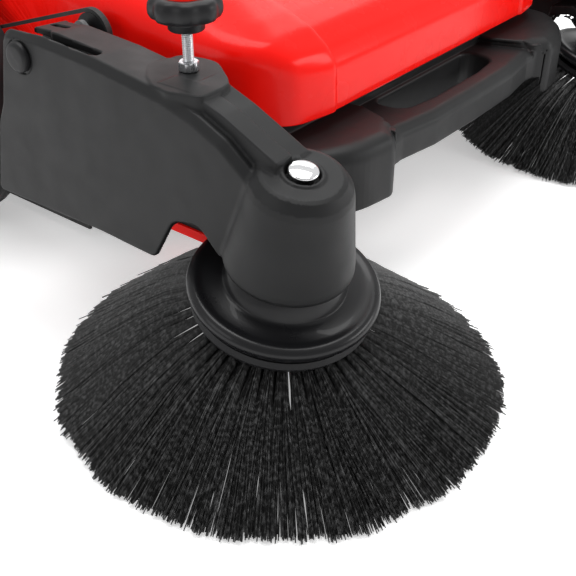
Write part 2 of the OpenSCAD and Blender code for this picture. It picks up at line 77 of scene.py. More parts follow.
class Look:
    """A node material with the small helpers that every finish here needs."""

    def __init__(self, name, color, rough, metal=0.0, coat=0.0, spec=0.5):
        self.mat = bpy.data.materials.new(name)
        self.mat.use_nodes = True
        self.nodes = self.mat.node_tree.nodes
        self.links = self.mat.node_tree.links
        self.bsdf = self.nodes["Principled BSDF"]
        self.bsdf.inputs["Base Color"].default_value = (*color, 1)
        self.bsdf.inputs["Roughness"].default_value = rough
        self.bsdf.inputs["Metallic"].default_value = metal
        self.bsdf.inputs["Coat Weight"].default_value = coat
        self.bsdf.inputs["Specular IOR Level"].default_value = spec
        self.color = color
        self.rough = rough
        self.coord = self.nodes.new("ShaderNodeTexCoord").outputs["Object"]
        self.mat.diffuse_color = (*color, 1)

    def scaled(self, scale):
        """Object coordinates stretched by a scale along each axis."""
        mapping = self.nodes.new("ShaderNodeMapping")
        mapping.inputs["Scale"].default_value = scale
        self.links.new(self.coord, mapping.inputs["Vector"])
        return mapping.outputs["Vector"]

    def noise(self, scale, detail=3.0, vector=None, distortion=0.0):
        tex = self.nodes.new("ShaderNodeTexNoise")
        tex.inputs["Scale"].default_value = scale
        tex.inputs["Detail"].default_value = detail
        tex.inputs["Distortion"].default_value = distortion
        self.links.new(vector or self.coord, tex.inputs["Vector"])
        return tex.outputs["Fac"]

    def span(self, value, low, high, new_low, new_high):
        """Maps a value from one range to another, clamped."""
        node = self.nodes.new("ShaderNodeMapRange")
        for i, v in enumerate((low, high, new_low, new_high)):
            node.inputs[i + 1].default_value = v
        self.links.new(value, node.inputs[0])
        return node.outputs[0]

    def bump(self, height, depth, strength=1.0):
        node = self.nodes.new("ShaderNodeBump")
        node.inputs["Strength"].default_value = strength
        node.inputs["Distance"].default_value = depth
        self.links.new(height, node.inputs["Height"])
        last = self.bsdf.inputs["Normal"].links
        if last:
            self.links.new(last[0].from_socket, node.inputs["Normal"])
        self.links.new(node.outputs["Normal"], self.bsdf.inputs["Normal"])
        return self

    def vary_rough(self, scale, spread):
        value = self.span(self.noise(scale), 0.3, 0.7, self.rough - spread, self.rough + spread)
        self.links.new(value, self.bsdf.inputs["Roughness"])
        return self

    def tint(self, factor, other):
        """Mixes another colour over the base colour by a 0 to 1 factor."""
        mix = self.nodes.new("ShaderNodeMix")
        mix.data_type = "RGBA"
        base = self.bsdf.inputs["Base Color"]
        if base.links:
            self.links.new(base.links[0].from_socket, mix.inputs[6])
        else:
            mix.inputs[6].default_value = (*self.color, 1)
        mix.inputs[7].default_value = (*other, 1)
        self.links.new(factor, mix.inputs[0])
        self.links.new(mix.outputs[2], base)
        return self

    def edge_highlight(self, amount, other):
        """Painted highlight: lightens edges that stand out, as light caught on their bevels would."""
        geometry = self.nodes.new("ShaderNodeNewGeometry")
        # painted highlight: how much an edge is lightened follows only how sharp it is
        edge = self.span(geometry.outputs["Pointiness"], 0.53, 0.62, 0.0, amount)
        return self.tint(edge, other)


def moulded(name, color, rough, grain=0.00006, edge_glint=0.3, coat=0.0):
    """Injection-moulded plastic: fine spark-eroded grain, slow colour drift, painted highlights on its
    edges.
    """
    look = Look(name, color, rough, coat=coat, spec=0.24)
    look.tint(look.span(look.noise(9.0), 0.35, 0.7, 0.0, 0.5), [c * 1.35 for c in color])
    look.vary_rough(45.0, 0.05)
    look.bump(look.noise(1500.0, 2.0), grain, 0.6)
    look.bump(look.noise(14.0, 1.0), 0.0004, 0.12)
    if edge_glint:
        # painted highlight: sharp edges lightened in the colour, as if they caught the light
        look.edge_highlight(edge_glint, [min(1, c * 2.2 + 0.03) for c in color])
    return look.mat


def gloss(name, color, rough, deep):
    """Polished plastic: clear top layer over a faint long-wave ripple, and a painted glow in its own
    colour.
    """
    look = Look(name, color, rough, coat=0.10, spec=0.10)
    # painted glow: the plastic gives off a little light in its own colour, so it looks brighter than the
    # lamps alone make it
    look.bsdf.inputs["Emission Color"].default_value = (*color, 1)
    look.bsdf.inputs["Emission Strength"].default_value = 0.16
    look.bsdf.inputs["Coat Roughness"].default_value = 0.10
    look.tint(look.span(look.noise(6.0), 0.3, 0.75, 0.0, 0.6), deep)
    look.vary_rough(30.0, 0.04)
    look.bump(look.noise(11.0, 1.0), 0.0004, 0.06)
    return look.mat


def metal(name, color, rough, grain=(900.0, 900.0, 40.0), depth=0.00002):
    """Turned or plated metal with fine drawn lines along one axis."""
    look = Look(name, color, rough, metal=1.0)
    lines = look.noise(1.0, 3.0, look.scaled(grain))
    look.bump(lines, depth, 0.5)
    value = look.span(lines, 0.3, 0.7, rough * 0.7, rough * 1.4)
    look.links.new(value, look.bsdf.inputs["Roughness"])
    look.tint(look.span(look.noise(60.0), 0.45, 0.75, 0.0, 0.35), [c * 0.75 for c in color])
    return look.mat


def rubber(name, color, rough, grain_scale, grain):
    look = Look(name, color, rough, spec=0.35)
    look.tint(look.span(look.noise(25.0), 0.4, 0.8, 0.0, 0.7), [c * 1.6 + 0.01 for c in color])
    look.vary_rough(60.0, 0.08)
    look.bump(look.noise(grain_scale, 4.0), grain, 0.7)
    return look.mat


def powder_coat(name, color, rough):
    look = Look(name, color, rough, coat=0.15)
    look.bump(look.noise(900.0, 1.0), 0.00008, 0.5)
    look.bump(look.noise(240.0, 1.0), 0.0001, 0.15)
    look.vary_rough(35.0, 0.05)
    # painted highlight along the sharp edges of the coat
    look.edge_highlight(0.25, (0.25, 0.25, 0.26))
    return look.mat


def filament(name, color, tip):
    """Nylon bristle: nearly black, with lighter streaks painted into its colour as sheen, and a shine that
    changes from strand to strand.
    """
    look = Look(name, color, 0.38, spec=0.5)
    streak = look.noise(1.0, 2.0, look.scaled((420.0, 420.0, 30.0)))
    # painted sheen: streaks mixed toward the tip colour stand in for light along the strands; the tip
    # colour is not the colour of the strand ends
    look.tint(look.span(streak, 0.45, 0.75, 0.0, 1.0), tip)
    value = look.span(streak, 0.3, 0.7, 0.28, 0.5)
    look.links.new(value, look.bsdf.inputs["Roughness"])
    return look.mat


# the red plastic carries the painted glow set in gloss()
RED = gloss("red_gloss_plastic", (0.90, 0.008, 0.004), 0.26, (0.74, 0.004, 0.003))
GREY = moulded("grey_moulded_plastic", (0.0125, 0.0127, 0.0132), 0.48)
BLACK = moulded("black_moulded_plastic", (0.012, 0.012, 0.013), 0.45, edge_glint=0.2)
KNOB = moulded("knob_plastic", (0.011, 0.011, 0.012), 0.40, edge_glint=0.3)
HUB = moulded("hub_gloss_black", (0.008, 0.008, 0.009), 0.30, grain=0.00002, edge_glint=0.2, coat=0.12)
ZINC = metal("zinc_plate", (0.74, 0.75, 0.77), 0.26)
STEEL = metal("turned_steel", (0.62, 0.62, 0.63), 0.30, grain=(40.0, 900.0, 900.0))
CHROME = metal("chrome", (0.92, 0.92, 0.93), 0.07, depth=0.000004)
BRONZE = metal("sintered_bronze", (0.55, 0.36, 0.17), 0.42)
COAT = powder_coat("black_powder_coat", (0.018, 0.018, 0.019), 0.42)
RUBBER = rubber("black_rubber", (0.018, 0.018, 0.018), 0.62, 900.0, 0.00006)
TYRE = rubber("tyre_rubber", (0.022, 0.022, 0.022), 0.72, 520.0, 0.00012)
FOAM = rubber("grip_foam", (0.020, 0.020, 0.021), 0.85, 1100.0, 0.0004)
# the second colour is the painted sheen of the strands
BRISTLE = filament("nylon_filament", (0.015, 0.015, 0.015), (0.10, 0.10, 0.101))

SLOT_LOOK = {
    "black_plastic": BLACK, "grey_plastic": GREY, "red_plastic": RED, "gloss_black": HUB,
    "knob_plastic": KNOB, "zinc_steel": ZINC, "bright_steel": STEEL, "chrome_cap": CHROME,
    "black_metal": COAT, "bush_bronze": BRONZE, "seal_rubber": RUBBER, "tyre_rubber": TYRE,
    "grip_foam": FOAM, "bristle_fibre": BRISTLE,
}
NODE_SLOT = {s["node"]: s["material_slot"] for s in frame["record"]["subparts"]}


# ---------------------------------------------------------------- mesh tools

def add_piece(name, verts, faces, mat, node, smooth=True, mirror=False):
    """A new mesh piece, in millimetres, that stands for one CAD node and rides on its body."""
    verts = np.asarray(verts, float).reshape(-1, 3) * MM
    if mirror:
        verts = verts * (-1, 1, 1)
        faces = [tuple(reversed(f)) for f in faces]
    mesh = bpy.data.meshes.new(name)
    mesh.from_pydata(verts.tolist(), [], [tuple(map(int, f)) for f in faces])
    mesh.validate()
    mesh.update()
    mesh.materials.append(mat)
    if smooth:
        mesh.polygons.foreach_set("use_smooth", [True] * len(mesh.polygons))
    piece = bpy.data.objects.new(name, mesh)
    bpy.context.scene.collection.objects.link(piece)
    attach(piece, NODES[node]["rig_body"])
    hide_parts(node)
    return piece


def box_mm(node):
    """Low and high corner of a CAD node, in millimetres."""
    return [np.array(p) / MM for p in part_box(node)]


def auto_smooth(obj, degrees=35.0):
    """Keeps edges sharper than an angle crisp."""
    limit = math.cos(math.radians(degrees))
    mesh = obj.data
    edge_faces = {}
    for poly in mesh.polygons:
        for key in poly.edge_keys:
            edge_faces.setdefault(key, []).append(poly.normal)
    for edge in mesh.edges:
        near = edge_faces.get(tuple(sorted(edge.vertices)), ())
        edge.use_edge_sharp = len(near) == 2 and near[0].dot(near[1]) < limit
    return obj


def bevel(obj, width, segments=2, degrees=30.0):
    mod = obj.modifiers.new("edge", "BEVEL")
    mod.width = width * MM
    mod.segments = segments
    mod.limit_method = "ANGLE"
    mod.angle_limit = math.radians(degrees)
    mod.harden_normals = False
    return obj


def grid_faces(rows, cols, close_rows=False, close_cols=True):
    faces = []
    for i in range(rows if close_rows else rows - 1):
        for j in range(cols if close_cols else cols - 1):
            a, b = i * cols + j, i * cols + (j + 1) % cols
            c, d = ((i + 1) % rows) * cols + (j + 1) % cols, ((i + 1) % rows) * cols + j
            faces.append((a, b, c, d))
    return faces


def frame_of(axis):
    """Unit axes (u, v, w) with w along the axis and u level."""
    w = np.asarray(axis, float)
    w = w / np.linalg.norm(w)
    u = np.cross((0, 1, 0) if abs(w[2]) > 0.5 else (0, 0, 1), w)
    u = u / np.linalg.norm(u)
    return u, np.cross(w, u), w


def lathe(profile, origin, axis, count=96):
    """Closed solid of revolution from a closed (radius, height) profile, all in millimetres."""
    u, v, w = frame_of(axis)
    verts = []
    for k in range(count):
        t = 2 * math.pi * k / count
        out = math.cos(t) * u + math.sin(t) * v
        verts += [np.asarray(origin) + r * out + h * w for r, h in profile]
    return verts, grid_faces(count, len(profile), close_rows=True)


def arc(cx, cy, r, a0, a1, n=6):
    """Points on a circle from angle a0 to a1 in degrees."""
    return [(cx + r * math.cos(math.radians(a0 + (a1 - a0) * k / n)),
             cy + r * math.sin(math.radians(a0 + (a1 - a0) * k / n))) for k in range(n + 1)]


def rounded(points, n=5):
    """Closed outline through (x, y, corner radius) points, with each corner as an arc."""
    out = []
    for i, (x, y, r) in enumerate(points):
        c = np.array((x, y), float)
        if not r:
            out.append(c)
            continue
        a = np.array(points[i - 1][:2], float) - c
        b = np.array(points[(i + 1) % len(points)][:2], float) - c
        a, b = a / np.linalg.norm(a), b / np.linalg.norm(b)
        half = math.acos(max(-1.0, min(1.0, float(a @ b)))) / 2
        mid = c + (a + b) / np.linalg.norm(a + b) * r / math.sin(half)
        s, e = c + a * r / math.tan(half) - mid, c + b * r / math.tan(half) - mid
        a0, a1 = math.atan2(s[1], s[0]), math.atan2(e[1], e[0])
        turn = (a1 - a0 + math.pi) % (2 * math.pi) - math.pi
        out += [mid + r * np.array((math.cos(a0 + turn * k / n), math.sin(a0 + turn * k / n)))
                for k in range(n + 1)]
    return np.array(out)


# ---------------------------------------------------------------- distance fields

def outline(points):
    """Signed distance to a closed polygon, negative inside; takes broadcastable arrays."""
    points = np.asarray(points, float)

    def field(a, b):
        best, wind = None, False
        for p, q in zip(points, np.roll(points, -1, axis=0)):
            d = q - p
            t = np.clip(((a - p[0]) * d[0] + (b - p[1]) * d[1]) / (d @ d + 1e-12), 0, 1)
            near = (a - p[0] - t * d[0]) ** 2 + (b - p[1] - t * d[1]) ** 2
            best = near if best is None else np.minimum(best, near)
            if d[1] != 0:
                crossing = ((p[1] > b) != (q[1] > b)) & (a < p[0] + (b - p[1]) * d[0] / d[1])
                wind = wind ^ crossing
        return np.where(wind, -1, 1) * np.sqrt(best)

    return field


def join(a, b, k):
    """Union of two fields with a fillet of size k."""
    h = np.maximum(k - np.abs(a - b), 0) / k
    return np.minimum(a, b) - h * h * k * 0.25


def meet(a, b, k):
    """Intersection of two fields with a rounded edge of size k."""
    return -join(-a, -b, k)


def cut(a, b, k=0.01):
    """Field a with b taken away."""
    return meet(a, -b, k)


def common(first, *others):
    """Sharp intersection of any number of fields."""
    for other in others:
        first = np.maximum(first, other)
    return first


def block(x, y, z, low, high):
    """Box between two corners."""
    spans = [np.abs(p - (l + h) / 2) - (h - l) / 2 for p, l, h in zip((x, y, z), low, high)]
    return common(*spans)


def surface(field, low, high, step):
    """Quad mesh of a field's zero surface: one vertex per crossed cell, pulled onto the surface."""
    axes = [np.arange(l, h + step, step) for l, h in zip(low, high)]
    g = field(axes[0][:, None, None], axes[1][None, :, None], axes[2][None, None, :])
    g = np.broadcast_to(g, tuple(len(a) for a in axes)).astype(np.float32)
    cells = tuple(n - 1 for n in g.shape)
    total, count = np.zeros((*cells, 3), np.float32), np.zeros(cells, np.float32)
    crossings = []
    for ax in range(3):
        g0 = np.take(g, range(g.shape[ax] - 1), axis=ax)
        g1 = np.take(g, range(1, g.shape[ax]), axis=ax)
        hit = (g0 < 0) != (g1 < 0)
        idx = np.argwhere(hit)
        v0, v1 = g0[hit], g1[hit]
        pos = idx.astype(np.float32)
        pos[:, ax] += v0 / (v0 - v1)
        others = [i for i in range(3) if i != ax]
        ring = []
        for da, db in ((0, 0), (1, 0), (1, 1), (0, 1)):
            cell = idx.copy()
            cell[:, others[0]] -= da
            cell[:, others[1]] -= db
            ok = ((cell >= 0) & (cell < cells)).all(1)
            c = cell[ok]
            np.add.at(total, tuple(c.T), pos[ok])
            np.add.at(count, tuple(c.T), 1)
            ring.append((cell, ok))
        crossings.append((ax, v0 < 0, ring))
    active = count > 0
    index = np.full(cells, -1, np.int64)
    index[active] = np.arange(active.sum())
    verts = total[active] / count[active][:, None] * step + np.array(low, np.float32)
    faces = []
    for ax, inside, ring in crossings:
        ok = np.logical_and.reduce([r[1] for r in ring])
        quad = np.stack([index[tuple(r[0][ok].T)] for r in ring], 1)
        flip = inside[ok] == (ax == 1)
        quad[flip] = quad[flip][:, ::-1]
        faces.append(quad)
    faces = np.concatenate(faces)
    p = verts.astype(float)
    for _ in range(4):
        p = settle(field, p, step)
    return p, faces


def field_normals(piece, field, verts, mirror=False, eps=0.25):
    """Shades a piece with the field's own direction, so that flats stay flat up to their edges."""
    p = np.asarray(verts, float)
    grad = np.stack([field(*(p + eps * e).T) - field(*(p - eps * e).T) for e in np.eye(3)], 1)
    grad /= np.maximum(np.linalg.norm(grad, axis=1, keepdims=True), 1e-9)
    if mirror:
        grad = grad * (-1, 1, 1)
    piece.data.normals_split_custom_set_from_vertices(grad.tolist())
    return piece


def settle(field, p, step, eps=0.05):
    """One Newton step of points onto a field's zero surface."""
    value = field(p[:, 0], p[:, 1], p[:, 2])
    grad = np.stack([(field(*(p + eps * e).T) - field(*(p - eps * e).T)) / (2 * eps) for e in np.eye(3)], 1)
    size = np.maximum((grad ** 2).sum(1), 0.05)
    move = np.clip(value / size, -0.5 * step, 0.5 * step)
    return p - grad * move[:, None]


# ---------------------------------------------------------------- hood

def hood_piece():
    """Red cover: a smooth skin with a proud cheek on each side of the recessed middle panel."""
    wall = 4.0
    lo, hi = box_mm("hood")
    half = float(hi[0]) - 0.3
    rear = float(hi[1])
    side = outline(rounded([
        (-370, 100, 0), (-374.5, 150, 0), (-376.3, 163, 8), (-375, 192, 14), (-366.5, 204, 14),
        (-352, 214.5, 24), (-332, 222.5, 40), (-300, 233, 80), (-180, 261, 300), (0, 288, 300),
        (140, hi[2] - 0.6, 300), (270, hi[2] - 5, 80), (rear - 5, 268, 40), (rear - 0.5, 190, 0),
        (rear - 0.5, 100, 0)], 8))
    plan = outline(rounded([
        (-400, -381, 0), (0, -381, 0), (160, -381, 30), (205, -371, 26), (236, -346, 40),
        (half, -312, 70), (half, 290, 60), (224, rear - 0.5, 46), (0, rear - 0.5, 0),
        (-400, rear - 0.5, 0)], 8))
    crease_y = [-420, -308, -189, 0, 150, 336]
    crease_z = [205, 216, 233, 250, 258, 248]

    def field(x, y, z):
        x = np.abs(x)
        cheek = 1 / (1 + np.exp(-(x - 163.5) / 0.9))
        fade = np.clip((y + 20) / -120, 0, 1)
        top = side(y, z) - 3.6 * cheek * fade * fade * (3 - 2 * fade)
        shoulder = (z - np.interp(y, crease_y, crease_z) - 0.55 * (half - x)) * 0.876
        body = meet(top, plan(x, y), 9)
        return meet(meet(body, shoulder, 16), x - half, 12)

    xs = np.concatenate([                                          # closest together at the cheek's edge
        np.linspace(0, 150, 14), np.linspace(155, 160, 3), np.linspace(161, 166.5, 12),
        np.linspace(169, 200, 9), np.linspace(204, half - 6, 12), np.linspace(half - 4.5, half, 7)])
    xs = np.concatenate([-xs[:0:-1], xs])
    nominal = rounded([(-379, 158, 0), (-392, 163, 0), (-392, 186, 26), (-374, 212, 24), (-350, 226, 40),
                       (-300, 238, 80), (-180, 264, 300), (0, 292, 300), (140, 303, 300), (270, 300, 80),
                       (rear, 270, 40), (rear, 190, 0)], 24)
    run = np.concatenate([[0], np.cumsum(np.linalg.norm(np.diff(nominal, axis=0), axis=1))])
    at = np.concatenate([
        np.linspace(0, 130, 56), np.linspace(133, 620, 80), np.linspace(626, run[-1], 46)])
    targets = np.stack([np.interp(at, run, nominal[:, 0]), np.interp(at, run, nominal[:, 1])], 1)
    centre = np.array((-150.0, 170.0))
    rays = targets - centre
    grid = []
    for x in xs:
        near, far = np.zeros(len(at)), np.full(len(at), 1.15)
        for _ in range(26):
            mid = (near + far) / 2
            p = centre + rays * mid[:, None]
            inside = field(np.full(len(at), x), p[:, 0], p[:, 1]) < 0
            near, far = np.where(inside, mid, near), np.where(inside, far, mid)
        p = centre + rays * near[:, None]
        grid.append(np.stack([np.full(len(at), x), p[:, 0], p[:, 1]], 1))
    rows, cols = len(xs), len(at)
    verts = np.concatenate(grid).tolist()
    faces = grid_faces(rows, cols, close_cols=False)
    for end, sign in ((0, 1), (rows - 1, -1)):                     # flat side with its lower edge
        ring = list(range(end * cols, (end + 1) * cols))
        x = xs[end]
        low = [(x, rear - 14, 190), (x, -165, 190), (x, -165, 112), (x, -324, 112), (x, -324, 158)]
        ids = [len(verts) + k for k in range(len(low))]
        verts += low
        loop = ring + ids
        faces.append(tuple(loop if sign > 0 else reversed(loop)))
    piece = add_piece("hood_shell", verts, faces, RED, "hood")
    mod = piece.modifiers.new("wall", "SOLIDIFY")
    mod.thickness = wall * MM
    mod.offset = -1
    mod.use_even_offset = False
    return piece


# ---------------------------------------------------------------- side arm

ARM_OUT, ARM_IN = 334.0, 280.0         # outer and inner side of an arm, from the middle of the machine
ARM_WALL = 4.0
RIDGE_TOP = 221.8
PIVOT = np.array(JOINTS["arm_right_tilt"]["pos_m"]) / MM
BRUSH_FOOT = np.array(JOINTS["brush_right_spin"]["pos_m"]) / MM
BRUSH_AXIS = np.array(JOINTS["brush_right_spin"]["axis"])
KNOB_POS = np.array(JOINTS["knob_right_turn"]["pos_m"]) / MM


def arm_mesh():
    """The right-hand arm: casing, platform, ridge and round brush head in one filleted moulding."""
    casing = outline(rounded([                                     # side view, y and z
        (-198, 230.5, 12), (-240, 232.4, 60), (-293, 228.6, 80), (-335, 222.8, 60), (-362, 218.6, 40),
        (-388, 211.4, 40), (-412, 200.6, 30), (-438, 181, 12), (-438, 114, 0), (-408, 112, 4),
        (-388, 132, 12), (-364, 127, 14), (-342, 89, 8), (-283, 91, 0), (-159, 88, 4)], 6))
    hollow = outline(rounded([
        (-203, 226, 10), (-281, 223, 80), (-352, 212, 80), (-397, 199, 40), (-426, 180, 10), (-426, 126, 0),
        (-404, 126, 0), (-388, 139, 6), (-362, 135, 0), (-350, 60, 0), (-140, 60, 0)]))
    head = outline(rounded([                                       # radius and height on the brush's axis
        (0, 113, 0), (44.4, 113, 1.5), (45.8, 117, 2), (45.4, 121, 2), (35.4, 177.5, 0.8),
        (33.9, 182.2, 0.8), (29.2, 187.9, 0.8), (26, 189, 1), (0, 189, 0)]))
    well = outline([(0, 124), (39.5, 124), (31, 170), (0, 170)])
    spine = outline(rounded([
        (-350, 190, 0), (-350, RIDGE_TOP, 0), (-378, 221.6, 14), (-405, 213.2, 40), (-438, 197.5, 30),
        (-449, 192.5, 0), (-449, 160, 0)]))
    shelf = outline(rounded([
        (-370, 190, 0), (-370, 221.5, 0), (-380, 219.2, 12), (-405, 210.0, 40), (-438, 194.5, 30),
        (-449, 189, 0), (-449, 160, 0)]))
    platform = outline(rounded([                                   # plan view, x and y
        (-272, -321, 10), (-304, -322, 14), (-320, -336, 10), (-329, -349, 12), (-332, -365, 12),
        (-325, -389, 6), (-304, -389, 3), (-295, -387, 4), (-287, -379, 10), (-267, -352, 24)]))
    slots = [outline(rounded(points)) for points in (
        [(-327.5, -291.5, 5), (-316.5, -291.5, 5), (-316.5, -236, 2), (-314, -232, 2), (-314, -214, 1),
         (-327.5, -214, 1)],
        [(-302.5, -235, 2.2), (-297, -235, 2.2), (-297, -216, 2.2), (-302.5, -216, 2.2)],
        [(-287, -234, 2.2), (-278, -234, 2.2), (-278, -216, 2.2), (-287, -216, 2.2)])]
    foot, w = BRUSH_FOOT, BRUSH_AXIS / np.linalg.norm(BRUSH_AXIS)
    mid, half = -(ARM_OUT + ARM_IN) / 2, (ARM_OUT - ARM_IN) / 2

    def field(x, y, z):
        h = (x - foot[0]) * w[0] + (y - foot[1]) * w[1] + (z - foot[2]) * w[2]
        r = np.sqrt(np.maximum((x - foot[0]) ** 2 + (y - foot[1]) ** 2 + (z - foot[2]) ** 2 - h * h, 0))
        pivot_r = np.sqrt((y - PIVOT[1]) ** 2 + (z - PIVOT[2]) ** 2)
        screw_r = np.sqrt((x - KNOB_POS[0]) ** 2 + (y - KNOB_POS[1]) ** 2)

        # what the moulding is built up from
        side = np.abs(x - mid) - half
        shape = casing(y, z + 0.07 * np.clip(x + 329, 0, 49))       # the deck slopes a little inwards
        chamfer = 5.0 * np.clip((z - 150) / 20, 0, 1)
        body = meet(meet(shape, side, 2), (shape + side + chamfer) * DIAGONAL, 1.0)
        boss = meet(platform(x, y), np.maximum(z - RIDGE_TOP, 200 - z), 1.6)
        ridge = meet(spine(y, z), np.abs(x + 315.2) - 8.4, 1.6)
        ledge = meet(shelf(y, z), np.abs(x + 298.5) - 9.7, 2)
        collar = meet(r - 14.2, np.maximum(h - 190.2, 180 - h), 1.2)
        solid = join(join(join(body, boss, 2), ledge, 1.5), ridge, 1.5)
        solid = join(join(solid, head(r, h), 2.5), collar, 2.5)

        # its hollow inside, open towards the machine and downwards
        solid = cut(solid, np.maximum(hollow(y, z), np.abs(x - mid) - half + ARM_WALL))
        solid = cut(solid, np.maximum(hollow(y, z + 10), np.abs(x + ARM_IN) - 10))
        solid = cut(solid, well(r, h))

        # room for the hub, bushes, cap, pivot bolt and adjusting screw
        solid = cut(solid, np.maximum(r - 41, h - 117), 1.5)
        solid = cut(solid, np.maximum(r - 47, h - 112.9))
        solid = cut(solid, np.maximum(r - 11.6, 184.2 - h), 1.5)
        solid = cut(solid, np.maximum(r - 9.05, 110 - h))
        solid = cut(solid, np.maximum(pivot_r - 13, x + ARM_OUT - 0.9), 1)
        solid = cut(solid, np.maximum(pivot_r - 6.05, x + ARM_OUT - 5))
        solid = cut(solid, np.maximum(pivot_r - 12, -(x + ARM_IN + 5)))
        solid = cut(solid, np.maximum(screw_r - 4.1, 190 - z))

        # the deck ends short of the side, and has slots
        solid = cut(solid, common(-327 - x, -213 - y, 205 - z), 2)
        for slot in slots:
            solid = cut(solid, np.maximum(slot(x, y), 212 - z), 1)
        return solid

    return (*surface(field, (-356, -496, 80), (-255, -155, 242), 1.5), field)


# ---------------------------------------------------------------- nose

NOSE_TOP = 145.0


def both_halves(half):
    """Points of a closed outline from those of its half, whose first point is on the middle line."""
    return half + [(-x, y, r) for x, y, r in reversed(half)][:-1]


def nose_mesh():
    """Front moulding: deck with a recessed grip in the middle and a deep skirt at each end."""
    half = [(0, -424, 0), (70, -423, 60), (116, -416.5, 16), (131, -418, 8), (146, -428.5, 12),
            (184, -423, 80), (212, -408, 40), (238, -384, 30), (247, -345, 30), (247, -324.1, 0)]
    plan = outline(rounded(both_halves(half)))
    inner = outline(rounded(both_halves([(x * 0.982, y + 4 if y < -330 else -300, r) for x, y, r in half])))
    front = outline(rounded([                                      # front view, with its raised middle
        (-260, 90, 0), (-141, 90, 6), (-137, 107, 4), (137, 107, 4), (141, 90, 6), (260, 90, 0),
        (260, 149, 0), (-260, 149, 0)]))
    opening = outline(rounded([
        (-86, -364, 12), (86, -364, 12), (80, -395, 15), (40, -400, 60), (-40, -400, 60), (-80, -395, 15)]))

    def field(x, y, z):
        x = np.abs(x)
        edge = plan(x, y)
        slant = edge + z - NOSE_TOP                                # grows across the chamfer round the top
        shell = meet(meet(edge, z - NOSE_TOP, 2), (slant + 8) * DIAGONAL, 5)
        shell = cut(shell, common(inner(x, y), z - NOSE_TOP + 4, (slant + 13.6) * DIAGONAL))
        bar = common(x - 137, y + 357, edge, z - NOSE_TOP + 3)
        pocket = block(x, y, z, (-96, -372, 88), (96, -357, 140))
        shell = np.minimum(meet(np.minimum(shell, bar), front(x, z), 3), pocket)
        shell = meet(shell, np.minimum((slant + 15) * DIAGONAL, (127 - x) * 0.9), 2)
        step = (x - 114 - 0.378 * np.clip(-376 - y, 0, 60)) * 0.935
        shell = cut(shell, common(step, y + 361, NOSE_TOP - 8 - z), 2.5)
        riser = block(x, y, z, (-205, -361, 132), (205, -357.2, 156))
        return cut(join(shell, riser, 1.5), np.maximum(opening(x, y), 80 - z), 4)

    return (*surface(field, (-250, -432, 84), (250, -322, 160), 1.9), field)


# ---------------------------------------------------------------- round and threaded parts

def threaded_rod(origin, length, radius, pitch=1.25, depth=0.55):
    """Screw with a real helical thread, chamfered at its tip."""
    around, steps = 24, int(length / pitch * 8)
    verts = []
    for k in range(steps + 1):
        z = length * k / steps
        for j in range(around):
            t = 2 * math.pi * j / around
            wave = abs(((z / pitch - j / around) % 1) - 0.5) * 2
            r = min(radius - depth * wave - 0.04, 2.6 + z)
            verts.append((origin[0] + r * math.cos(t), origin[1] + r * math.sin(t), origin[2] + z))
    faces = grid_faces(steps + 1, around)
    faces.append(tuple(reversed(range(around))))
    faces.append(tuple(range(steps * around, (steps + 1) * around)))
    return verts, faces


def hex_nut(origin, flats, height, bore):
    """Nut with the round chamfer of both faces cut into its hexagon."""
    count = 72
    corner = flats / math.sqrt(3)
    levels = [0, 0.45, 1.1, height / 2, height - 1.1, height - 0.45, height]
    verts = []
    for k in range(count):
        t = 2 * math.pi * k / count
        hexa = (flats / 2) / math.cos((t + math.pi / 6) % (math.pi / 3) - math.pi / 6)
        ring = [(bore, 0), (flats / 2 * 0.94, 0)]
        for z in levels:
            drop = min(z, height - z)
            ring.append((min(hexa, flats / 2 * 0.97 + drop * 1.7, corner - 0.15), z))
        ring += [(flats / 2 * 0.94, height), (bore, height)]
        for r, z in ring:
            verts.append((origin[0] + r * math.cos(t), origin[1] + r * math.sin(t), origin[2] + z))
    return verts, grid_faces(count, len(ring), close_rows=True)


def star_knob(origin, outer, height, hub_r, hub_h, lobes, waist, bore, axis=(0, 0, 1)):
    """Hand knob: a lobed, crowned disc on a slimmer hub, dished for its coloured insert."""
    u, v, w = frame_of(axis)
    count = 144
    verts = []
    top = hub_h + height
    for k in range(count):
        t = 2 * math.pi * k / count
        lobe = 0.5 + 0.5 * math.cos(lobes * t)
        r = outer - waist * (1 - lobe) ** 1.4
        ring = [(bore, 0), (hub_r - 0.8, 0), (hub_r, 0.8), (hub_r, hub_h - 2), (hub_r + 1.5, hub_h),
                (r * 0.80, hub_h + 0.3), (r * 0.93, hub_h + 1.8), (r * 0.99, hub_h + 4.5),
                (r, hub_h + height * 0.5), (r * 0.985, hub_h + height * 0.72),
                (r * 0.94, hub_h + height * 0.88), (r * 0.86, top - 0.4), (r * 0.74, top),
                (14.6, top), (14.05, top - 0.5), (14.05, top - 2.0), (bore, top - 2.0)]
        out = math.cos(t) * u + math.sin(t) * v
        verts += [np.asarray(origin) + a * out + b * w for a, b in ring]
    return verts, grid_faces(count, len(ring), close_rows=True)


# ---------------------------------------------------------------- bristles

